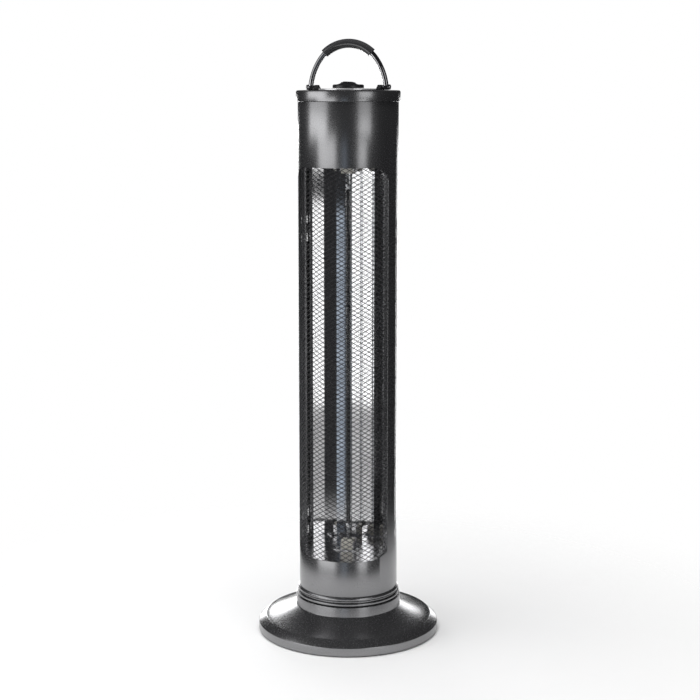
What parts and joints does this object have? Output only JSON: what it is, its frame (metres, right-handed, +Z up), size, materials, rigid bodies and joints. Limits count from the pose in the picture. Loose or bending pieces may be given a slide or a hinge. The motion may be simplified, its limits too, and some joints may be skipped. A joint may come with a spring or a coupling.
{
  "type": "outdoor heater",
  "caption": "Free-standing tower heater: round weighted base, tubular column with a mesh window, mirror reflector and quartz lamp, cap with rotary knob and folding bail handle.",
  "frame": {"origin": "centre of the foot circle on the floor", "axes": "+Z up along the column, the mesh window faces -Y, the bail handle's pivot axis lies along X"},
  "size_m": [0.22, 0.22, 0.7147],
  "materials": {
    "shell_paint": "satin dark gunmetal paint",
    "mesh_steel": "dark metallic paint on expanded steel",
    "plated_steel": "zinc plated",
    "cast_ballast": "raw casting",
    "black_rubber": "matte",
    "ivory_plastic": "moulded",
    "red_plastic": "moulded",
    "black_wire": "silicone sleeve",
    "brown_wire": "silicone sleeve",
    "blue_wire": "silicone sleeve",
    "deck_steel": "bright galvanised sheet",
    "mirror_sheet": "polished facets",
    "quartz": "clear polished",
    "carbon": "woven carbon ribbon",
    "ceramic": "unglazed",
    "switch_plastic": "moulded",
    "brass": "bright",
    "dial_metal": "spun and brushed",
    "knob_plastic": "fine satin",
    "lug_metal": "satin black",
    "dark_chrome": "polished black chrome",
    "grip_plastic": "glossy sleeve"
  },
  "bodies": {
    "heater": {"base_cover": "shell_paint", "base_plate": "plated_steel", "base_weight": "cast_ballast", "rubber_feet": "black_rubber", "tie_bolts": "plated_steel", "tie_nuts": "plated_steel", "tip_switch_body": "ivory_plastic", "tip_switch_spring": "plated_steel", "tip_switch_screws": "plated_steel", "tip_switch_wire": "black_wire", "spacer_ring": "shell_paint", "column_foot": "shell_paint", "housing_tube": "shell_paint", "column_screws": "plated_steel", "mesh_grille": "mesh_steel", "lower_deck": "deck_steel", "upper_deck": "deck_steel", "deck_grommets": "black_rubber", "reflector": "mirror_sheet", "quartz_tube": "quartz", "carbon_element": "carbon", "lower_end_cap": "ceramic", "upper_end_cap": "ceramic", "lower_lamp_bracket": "deck_steel", "upper_lamp_bracket": "deck_steel", "bracket_screws": "plated_steel", "lead_bushes": "ceramic", "thermal_cutout": "switch_plastic", "cutout_screws": "plated_steel", "terminal_block": "ivory_plastic", "terminal_screws": "brass", "live_wire": "brown_wire", "neutral_wire": "blue_wire", "switch_wire": "brown_wire", "lower_lamp_wire": "black_wire", "cable_gland": "switch_plastic", "gland_nut": "switch_plastic", "top_ring": "plated_steel", "top_cap": "shell_paint", "cap_screws": "plated_steel", "dial_plate": "dial_metal", "switch_body": "switch_plastic", "switch_terminals": "brass", "switch_nut": "plated_steel", "left_handle_lug": "lug_metal", "right_handle_lug": "lug_metal", "lug_screws": "plated_steel", "pivot_screws": "plated_steel"},
    "bail": {"bail_wire": "dark_chrome", "handle_grip": "grip_plastic"},
    "dial_knob": {"knob": "knob_plastic", "switch_shaft": "plated_steel"},
    "tip_plunger": {"tip_switch_plunger": "red_plastic"}
  },
  "joints": [
    {"name": "handle_fold", "type": "hinge", "parent": "heater", "child": "bail", "pos_m": [0, 0, 0.6587], "axis": [1, 0, 0], "range_deg": [-87, 87]},
    {"name": "knob_turn", "type": "hinge", "parent": "heater", "child": "dial_knob", "pos_m": [0, 0, 0.655], "axis": [0, 0, 1], "range_deg": [-120, 0]},
    {"name": "tip_plunge", "type": "slide", "parent": "heater", "child": "tip_plunger", "axis": [0, 0, -1], "range_m": [0, 0.004], "stiffness_N_per_m": 100, "springref_m": 0.008, "deforming": ["tip_switch_spring"]}
  ]
}
